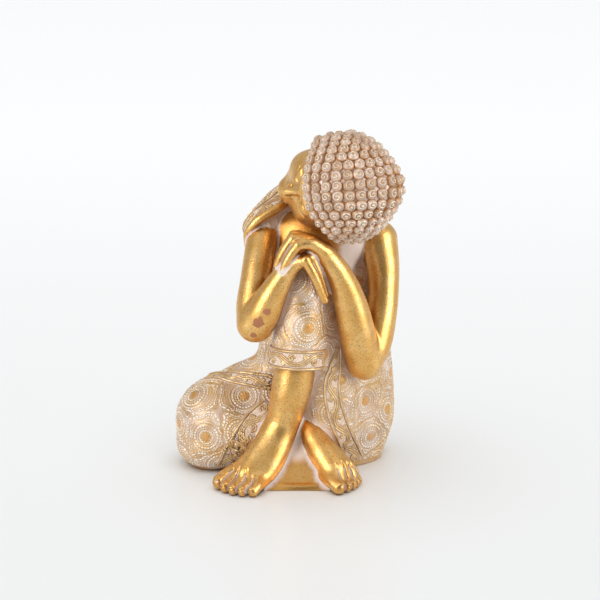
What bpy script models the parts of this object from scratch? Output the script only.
"""Resting Buddha figure, 210 mm tall: a seated figure asleep on the raised knee.

The casting is modelled as the pieces that its finishes divide it into: bare gilded
limbs, head and hair, robe panels, scroll trims and the base between the feet.
Frame: metres, +Z up, front is -Y, +X is the viewer's right, origin on the underside.
"left" and "right" in the names are the figure's own.
"""
import math

import bmesh
import bpy
from mathutils import Matrix, Vector

# ---------------------------------------------------------------- driving dimensions
MM = 0.001
GAP = 0.8 * MM           # clearance grown round a piece before its neighbour is cut
FLOOR_DEPTH = 60 * MM    # depth of the block that trims everything flat at z = 0
FLOOR_WIDTH = 400 * MM   # its width and length
COARSE = 1.5 * MM        # voxel of the robe masses
FINE = 0.8 * MM          # voxel of hands, feet and trims

# Landmarks of the pose, millimetres, inside the limbs.
RAISED_KNEE = (6, -11, 117)
RAISED_HEM = (2.8, -16, 76)
RAISED_ANKLE = (-8, -15, 28)
FOLDED_KNEE = (-47, 10, 25)
FOLDED_ANKLE = (9, -9, 31)
RIGHT_SHOULDER = (-15, 20, 153)
RIGHT_ELBOW = (-21, -20, 99)
RIGHT_WRIST = (-2, -27, 131)
LEFT_SHOULDER = (53, 18, 138)
LEFT_ELBOW = (45, -14, 74)
LEFT_WRIST = (18, -25, 140)
HEAD_CENTRE = (32, -9, 177)
HEAD_TURN = math.radians(25)     # crown swings from the front towards the viewer's right
PELVIS = (20, 26, 26)

SKULL = (28.5, 34, 28.5)         # half sizes: face to back, crown to chin, ear to ear
HAIR_DEPTH = 4.8                 # curls stand this far off the skull
FACE_TIP = 30                    # degrees that the bare face tips towards the chin
HAIRLINE = 19.5                  # from the head's centre to the face opening
NAPE = 15                        # from the head's centre to the lower edge of the hair
HEM_RADIUS = 16.8                # band round the raised leg
HEM_HEIGHT = 12.5

GOLD = (0.83, 0.52, 0.12)
WASHED_GOLD = (0.74, 0.58, 0.38)
HAIR_WASH = (0.70, 0.54, 0.44)

# ---------------------------------------------------------------- scene and materials
for stale in list(bpy.data.objects):
    bpy.data.objects.remove(stale, do_unlink=True)

PARTS = bpy.data.collections.new("resting_buddha")
bpy.context.scene.collection.children.link(PARTS)
CUTTERS = bpy.data.collections.new("cutters")
bpy.context.scene.collection.children.link(CUTTERS)


def finish(name, colour, roughness, metallic):
    """A Principled material with one colour."""
    material = bpy.data.materials.new(name)
    material.use_nodes = True
    shader = material.node_tree.nodes["Principled BSDF"]
    shader.inputs["Base Color"].default_value = (*colour, 1.0)
    shader.inputs["Roughness"].default_value = roughness
    shader.inputs["Metallic"].default_value = metallic
    return material


GILT = finish("gilt", GOLD, 0.3, 1.0)
ROBE = finish("washed_robe", WASHED_GOLD, 0.55, 0.4)
TRIM = finish("scroll_trim", WASHED_GOLD, 0.5, 0.5)
CURLS = finish("washed_hair", HAIR_WASH, 0.6, 0.2)


# ---------------------------------------------------------------- shape helpers
def unit_ball(detail):
    """Points of a unit icosphere."""
    bm = bmesh.new()
    bmesh.ops.create_icosphere(bm, subdivisions=detail, radius=1.0)
    points = [vert.co.copy() for vert in bm.verts]
    bm.free()
    return points


UNIT_BALL = unit_ball(2)
FINE_BALL = unit_ball(3)


def add_ball(bm, centre, radii, turn=0.0, detail=3):
    """An ellipsoid, in millimetres, turned about Z."""
    shape = (Matrix.Translation(Vector(centre) * MM) @ Matrix.Rotation(turn, 4, "Z")
             @ Matrix.Diagonal((*(r * MM for r in radii), 1.0)))
    bmesh.ops.create_icosphere(bm, subdivisions=detail, radius=1.0, matrix=shape)


def close_hull(bm, verts):
    """Wrap some points in their convex hull and drop the points inside it."""
    hull = bmesh.ops.convex_hull(bm, input=verts)
    inside = {v for v in hull["geom_interior"] if isinstance(v, bmesh.types.BMVert)}
    bmesh.ops.delete(bm, geom=list(inside), context="VERTS")


def add_capsule(bm, start, end):
    """A tapered capsule between two (x, y, z, radius) stations: the hull of two spheres."""
    verts = []
    for x, y, z, r in (start, end):
        verts += [bm.verts.new((Vector((x, y, z)) + point * r) * MM) for point in UNIT_BALL]
    close_hull(bm, verts)


def add_chain(bm, stations, grow):
    """Tapered capsules through a list of (x, y, z, radius) stations."""
    grown = [(x, y, z, r + grow) for x, y, z, r in stations]
    for start, end in zip(grown, grown[1:]):
        add_capsule(bm, start, end)


def add_hull(bm, corners, radius):
    """The convex hull of small spheres at a few corners, in millimetres."""
    verts = []
    for corner in corners:
        verts += [bm.verts.new((Vector(corner) + point * radius) * MM) for point in UNIT_BALL]
    close_hull(bm, verts)


def add_trunk(bm, sections, grow):
    """Hulls between successive ellipsoids, each (centre, half sizes) in millimetres."""
    for pair in zip(sections, sections[1:]):
        verts = []
        for centre, radii in pair:
            half = Vector(radii) + Vector((grow, grow, grow))
            for point in FINE_BALL:
                offset = Vector((point.x * half.x, point.y * half.y, point.z * half.z))
                verts.append(bm.verts.new((Vector(centre) + offset) * MM))
        close_hull(bm, verts)


def add_band(bm, centre, axis, radius, height):
    """A disc-shaped band: a cylinder about an axis, in millimetres."""
    turn = Vector(axis).to_track_quat("Z", "Y").to_matrix().to_4x4()
    bmesh.ops.create_cone(bm, cap_ends=True, segments=40, radius1=radius * MM,
                          radius2=radius * MM, depth=height * MM,
                          matrix=Matrix.Translation(Vector(centre) * MM) @ turn)


def as_object(bm, name, collection):
    mesh = bpy.data.meshes.new(name)
    bm.to_mesh(mesh)
    bm.free()
    item = bpy.data.objects.new(name, mesh)
    collection.objects.link(item)
    return item


def apply_modifiers(item):
    """Replace an object's mesh by its evaluated mesh."""
    graph = bpy.context.evaluated_depsgraph_get()
    mesh = bpy.data.meshes.new_from_object(item.evaluated_get(graph))
    item.modifiers.clear()
    item.data = mesh


def soften(item, voxel, rounds):
    """Weld overlapping shapes into one skin and smooth the seams between them."""
    remesh = item.modifiers.new("weld", "REMESH")
    remesh.mode = "VOXEL"
    remesh.voxel_size = voxel
    smooth = item.modifiers.new("smooth", "SMOOTH")
    smooth.factor = 0.5
    smooth.iterations = rounds
    apply_modifiers(item)


def thin_out(item, triangles):
    """Collapse a skin to about this many triangles."""
    count = sum(len(face.vertices) - 2 for face in item.data.polygons)
    decimate = item.modifiers.new("thin", "DECIMATE")
    decimate.ratio = min(1.0, triangles / count)
    decimate.use_collapse_triangulate = True
    apply_modifiers(item)


def keep_largest(item):
    """Drop the crumbs that a cut leaves, so that the piece is one body."""
    bm = bmesh.new()
    bm.from_mesh(item.data)
    bmesh.ops.remove_doubles(bm, verts=bm.verts, dist=0.01 * MM)
    seen = set()
    islands = []
    for seed in bm.verts:
        if seed in seen:
            continue
        island = [seed]
        seen.add(seed)
        for vert in island:
            for edge in vert.link_edges:
                other = edge.other_vert(vert)
                if other not in seen:
                    seen.add(other)
                    island.append(other)
        islands.append(island)
    islands.sort(key=len)
    crumbs = [vert for island in islands[:-1] for vert in island]
    bmesh.ops.delete(bm, geom=crumbs, context="VERTS")
    bm.to_mesh(item.data)
    bm.free()


def cut(item, cutter):
    boolean = item.modifiers.new("cut", "BOOLEAN")
    boolean.operation = "DIFFERENCE"
    boolean.solver = "EXACT"
    boolean.object = cutter
    apply_modifiers(item)
    keep_largest(item)


# ---------------------------------------------------------------- the pieces
# Each function adds one piece's rough volume to a bmesh; grow widens it all round.
def along_foot(middle, heading, side, reach):
    """A point on the floor plan of a foot, from its ball, across and along."""
    across = (-heading[1], heading[0])
    return (middle[0] + across[0] * side + heading[0] * reach,
            middle[1] + across[1] * side + heading[1] * reach)


def add_toes(bm, middle, heading, toes, lift, grow):
    """Five toes in a row: (side, reach, radius) from the big toe to the little one."""
    for side, reach, radius in toes:
        root = along_foot(middle, heading, side, -3)
        tip = along_foot(middle, heading, side, reach)
        add_chain(bm, [(*root, lift + radius, radius), (*tip, radius, radius)], grow)


def raised_leg(bm, grow):
    heading = (-0.59, -0.81)
    add_chain(bm, [(*RAISED_HEM, 12.2), (0.5, -17.5, 56, 11.8), (-3, -17, 42, 10.8),
                   (*RAISED_ANKLE, 9.3), (-18, -26, 17, 8.6), (-27, -37, 8, 7.6)], grow)
    add_chain(bm, [(*RAISED_ANKLE, 8.5), (-4, -8, 9, 8.8)], grow)
    add_chain(bm, [(-18, -26, 14, 8), (-20, -41, 6, 5.6)], grow)
    add_chain(bm, [(-20, -24, 14, 8), (-35, -30, 7, 6)], grow)
    toes = ((-11, 9, 4.8), (-4.5, 12.5, 3.6), (2, 12.5, 3.4), (8, 10, 3.2), (13, 6, 3))
    add_toes(bm, (-28, -37), heading, toes, 2.5, grow)


def folded_foot(bm, grow):
    heading = (0.67, -0.74)
    add_chain(bm, [(*FOLDED_ANKLE, 8), (17, -20, 24, 9), (27, -33, 11, 8.5)], grow)
    add_chain(bm, [(17, -18, 22, 9), (35, -24, 14, 8.5), (36, -28, 8, 7)], grow)
    toes = ((-10, 8, 4.6), (-3, 8.5, 3.5), (3, 8.5, 3.3), (8.5, 8, 3.1), (13, 6.5, 2.9))
    add_toes(bm, (29, -35), heading, toes, 3, grow)


def base_web(bm, grow):
    add_hull(bm, [(-16, -37, -3), (23, -38, -3), (-16, -37, 1), (23, -38, 1),
                  (2, -25, 20), (10, -25, 20), (-13, 13, -3), (19, 13, -3), (-13, 13, 17),
                  (19, 13, 17)], 1 + grow)


def knee_drape(bm, grow):
    add_chain(bm, [(*RAISED_KNEE, 15.3), (4, -14, 96, 16), (*RAISED_HEM, 16.4)], grow)


def thigh_robe(bm, grow):
    add_chain(bm, [(8, -8, 113, 15), (20, 6, 92, 20), (32, 20, 62, 26)], grow)
    add_chain(bm, [(16, -4, 84, 15), (22, 2, 50, 20), (22, 2, 30, 20)], grow)


def hem_band(bm, grow):
    axis = Vector(RAISED_KNEE) - Vector(RAISED_HEM)
    add_band(bm, RAISED_HEM, axis, HEM_RADIUS + grow, HEM_HEIGHT + 2 * grow)


def torso_robe(bm, grow):
    add_trunk(bm, [(PELVIS, (46, 31, 32)), ((21, 29, 72), (40, 27, 26)),
                   ((20, 31, 114), (41, 22, 24)), ((18, 32, 138), (34, 17, 18))], grow)
    add_chain(bm, [(-14, 29, 146, 13), (18, 33, 150, 15), (50, 27, 134, 13.5)], grow)


def chest(bm, grow):
    add_ball(bm, (14, 16, 128), (26 + grow, 15 + grow, 30 + grow))
    add_chain(bm, [(-6, 18, 150, 12), (36, 18, 140, 12)], grow)


def folded_thigh(bm, grow):
    add_chain(bm, [(2, 30, 38, 30), (-20, 22, 35, 27), (-36, 18, 31, 25)], grow)
    add_chain(bm, [(-12, 14, 58, 11), (-30, 18, 46, 11)], grow)


def folded_knee(bm, grow):
    x, y, z = FOLDED_KNEE
    add_trunk(bm, [((x, y, z + 2), (23.2, 26, 25)), ((x - 1, y, z - 7), (22, 25, 20))], grow)
    add_chain(bm, [(x + 3, y - 2, z - 4, 21), (-30, 3, 22, 19), (-16, 2, 26, 17)], grow)


def shoulder_trim(bm, grow):
    add_chain(bm, [(-22, 16, 147, 6), (-17, 27, 159, 7), (-4, 38, 159, 7),
                   (18, 41, 157, 7), (42, 37, 148, 7), (58, 28, 136, 6.5)], grow)


def lap_trim(bm, grow):
    add_chain(bm, [(-50, 15, 50, 5), (-38, 10, 53, 5.2), (-24, 4, 54.5, 5.4),
                   (-13, -1, 55, 5.6)], grow)


def folded_hem_trim(bm, grow):
    add_chain(bm, [(-14, -6, 42, 5), (-22, -9, 34, 6), (-32, -11, 20, 6.5),
                   (-42, -8, 5, 6.5)], grow)


def side_trim(bm, grow):
    add_chain(bm, [(24, -6, 78, 4.5), (26, -11, 54, 6), (31, -13, 36, 7),
                   (38, -11, 20, 7), (43, -5, 5, 7)], grow)


def right_arm(bm, grow):
    add_chain(bm, [(*RIGHT_SHOULDER, 10.5), (-18.5, 2, 135, 8.8), (-22.5, -12, 112, 9.2),
                   (*RIGHT_ELBOW, 11), (-13, -25, 113, 8.6), (*RIGHT_WRIST, 6.8)], grow)


def left_arm(bm, grow):
    add_chain(bm, [(*LEFT_SHOULDER, 12.5), (56, 6, 112, 9), (53, -5, 90, 10),
                   (*LEFT_ELBOW, 12), (41, -18, 88, 10.5), (35, -20, 112, 9),
                   (*LEFT_WRIST, 6.8)], grow)


def right_hand(bm, grow):
    add_chain(bm, [(*RIGHT_WRIST, 6.2), (5, -29, 139, 5.4), (12, -29, 137, 5)], grow)
    fingers = ((10, -33, 137, 18, -33, 116), (15, -30, 137, 22, -29, 117),
               (19, -26, 136, 25, -24, 119))
    for x1, y1, z1, x2, y2, z2 in fingers:
        add_chain(bm, [(x1, y1, z1, 3), (x2, y2, z2, 2.4)], grow)


def left_hand(bm, grow):
    add_chain(bm, [(*LEFT_WRIST, 6.3), (10, -28, 147, 5.6), (4, -29, 149.5, 4.8)], grow)
    for step in range(3):
        y = -33 + 4.6 * step
        add_chain(bm, [(5, y, 150, 3.2), (-1, y - 1, 146, 3), (-6, y - 1, 137, 2.4)], grow)


def head_point(forward, up, side=0.0):
    """A point in the head's own directions: face, crown and upper ear."""
    x, y, z = HEAD_CENTRE
    return (x - math.cos(HEAD_TURN) * forward + math.sin(HEAD_TURN) * up,
            y - math.sin(HEAD_TURN) * forward - math.cos(HEAD_TURN) * up, z + side)


def head(bm, grow):
    add_ball(bm, HEAD_CENTRE, tuple(r + grow for r in SKULL), HEAD_TURN)
    add_chain(bm, [(*head_point(4, 4), 26), (*head_point(9, -12), 21),
                   (*head_point(17, -29), 9)], grow)
    add_chain(bm, [(*head_point(27, 2), 4.5), (*head_point(33.5, -8), 3.6)], grow)
    add_chain(bm, [(24, 6, 172, 18), (18, 26, 156, 17)], grow)


def hair_cap(bm, grow):
    add_ball(bm, HEAD_CENTRE, tuple(r + HAIR_DEPTH + grow for r in SKULL), HEAD_TURN)
    add_ball(bm, head_point(-10, 19), (18.5 + grow, 18.5 + grow, 18 + grow))


def face_opening(bm, grow):
    """What the hair leaves bare: the face, seen along a line tipped to the chin, and the nape."""
    tip = math.radians(FACE_TIP)
    for near, far, tilt in ((HAIRLINE, 70, tip), (NAPE, 70, math.pi / 2)):
        corners = []
        for out in (near, far):
            for across in (-70, 70):
                forward = out * math.cos(tilt) + across * math.sin(tilt)
                up = across * math.cos(tilt) - out * math.sin(tilt)
                corners += [head_point(forward, up, side) for side in (-70, 70)]
        add_hull(bm, corners, 1 + grow)


# name: (function, triangles, voxel, smoothing rounds, material, what it gives way to)
PIECES = {
    "head": (head, 700, COARSE, 3, GILT, ()),
    "hair_cap": (hair_cap, 1200, COARSE, 2, CURLS, ("head", "face_opening")),
    "left_hand": (left_hand, 420, FINE, 2, GILT, ("head", "hair_cap")),
    "right_hand": (right_hand, 460, FINE, 2, GILT, ("head", "left_hand")),
    "left_arm": (left_arm, 620, COARSE, 4, GILT,
                 ("head", "hair_cap", "left_hand", "right_hand")),
    "right_arm": (right_arm, 560, COARSE, 4, GILT, ("head", "left_hand", "right_hand")),
    "hem_band": (hem_band, 300, FINE, 1, TRIM, ()),
    "raised_leg": (raised_leg, 900, FINE, 3, GILT, ("hem_band",)),
    "folded_foot": (folded_foot, 620, FINE, 3, GILT, ("raised_leg",)),
    "knee_drape": (knee_drape, 420, COARSE, 3, ROBE,
                   ("hem_band", "raised_leg", "left_hand", "right_hand", "left_arm", "right_arm",
                    "head")),
    "side_trim": (side_trim, 340, FINE, 2, TRIM,
                  ("raised_leg", "folded_foot", "knee_drape", "hem_band", "left_arm")),
    "shoulder_trim": (shoulder_trim, 360, FINE, 2, TRIM,
                      ("head", "hair_cap", "right_arm", "left_arm")),
    "lap_trim": (lap_trim, 260, FINE, 2, TRIM, ("raised_leg", "hem_band", "knee_drape")),
    "folded_hem_trim": (folded_hem_trim, 280, FINE, 2, TRIM, ("raised_leg", "lap_trim")),
    "base_web": (base_web, 160, FINE, 0, GILT,
                 ("raised_leg", "folded_foot", "side_trim", "folded_hem_trim")),
    "folded_knee": (folded_knee, 620, COARSE, 4, ROBE,
                    ("raised_leg", "folded_hem_trim", "lap_trim", "base_web", "folded_foot")),
    "folded_thigh": (folded_thigh, 560, COARSE, 4, ROBE,
                     ("folded_knee", "lap_trim", "raised_leg", "hem_band", "knee_drape",
                      "right_arm", "base_web", "folded_hem_trim")),
    "thigh_robe": (thigh_robe, 560, COARSE, 4, ROBE,
                   ("knee_drape", "hem_band", "side_trim", "raised_leg", "left_arm",
                    "left_hand", "right_hand", "folded_foot", "base_web", "folded_thigh",
                    "folded_knee", "head", "lap_trim", "folded_hem_trim")),
    "chest": (chest, 420, COARSE, 4, GILT,
              ("head", "hair_cap", "left_arm", "right_arm", "thigh_robe", "knee_drape", "left_hand",
               "right_hand", "shoulder_trim", "folded_thigh")),
    "torso_robe": (torso_robe, 1100, COARSE, 6, ROBE,
                   ("chest", "head", "hair_cap", "left_arm", "right_arm", "thigh_robe", "shoulder_trim",
                    "folded_thigh", "folded_knee", "side_trim", "base_web", "lap_trim",
                    "folded_foot")),
}


def build_piece(name):
    shape, triangles, voxel, rounds, material, _ = PIECES[name]
    bm = bmesh.new()
    shape(bm, 0.0)
    item = as_object(bm, name, PARTS)
    soften(item, voxel, rounds)
    thin_out(item, 1.5 * triangles)
    item.data.materials.clear()
    item.data.materials.append(material)
    return item


OPENINGS = {"face_opening": (face_opening, 200, COARSE, 0, None, ())}


def build_cutter(name):
    """The same piece grown by the gap, for carving its neighbours."""
    shape, triangles, voxel, rounds, _, _ = {**PIECES, **OPENINGS}[name]
    bm = bmesh.new()
    shape(bm, GAP / MM)
    item = as_object(bm, name + "_cutter", CUTTERS)
    soften(item, voxel, rounds)
    thin_out(item, triangles)
    item.hide_render = True
    item.display_type = "WIRE"
    return item


floor_bm = bmesh.new()
bmesh.ops.create_cube(floor_bm, size=1.0, matrix=Matrix.Translation((0, 0, -FLOOR_DEPTH / 2))
                      @ Matrix.Diagonal((FLOOR_WIDTH, FLOOR_WIDTH, FLOOR_DEPTH, 1.0)))
floor = as_object(floor_bm, "floor_block", CUTTERS)
floor.hide_render = True
floor.display_type = "WIRE"

cutters = {}
for piece_name, (_, _, _, _, _, yields_to) in PIECES.items():
    piece = build_piece(piece_name)
    for neighbour in yields_to:
        if neighbour not in cutters:
            cutters[neighbour] = build_cutter(neighbour)
        cut(piece, cutters[neighbour])
    thin_out(piece, PIECES[piece_name][1])
    cut(piece, floor)
    piece.data.shade_smooth()
    piece.data.set_sharp_from_angle(angle=math.radians(40))
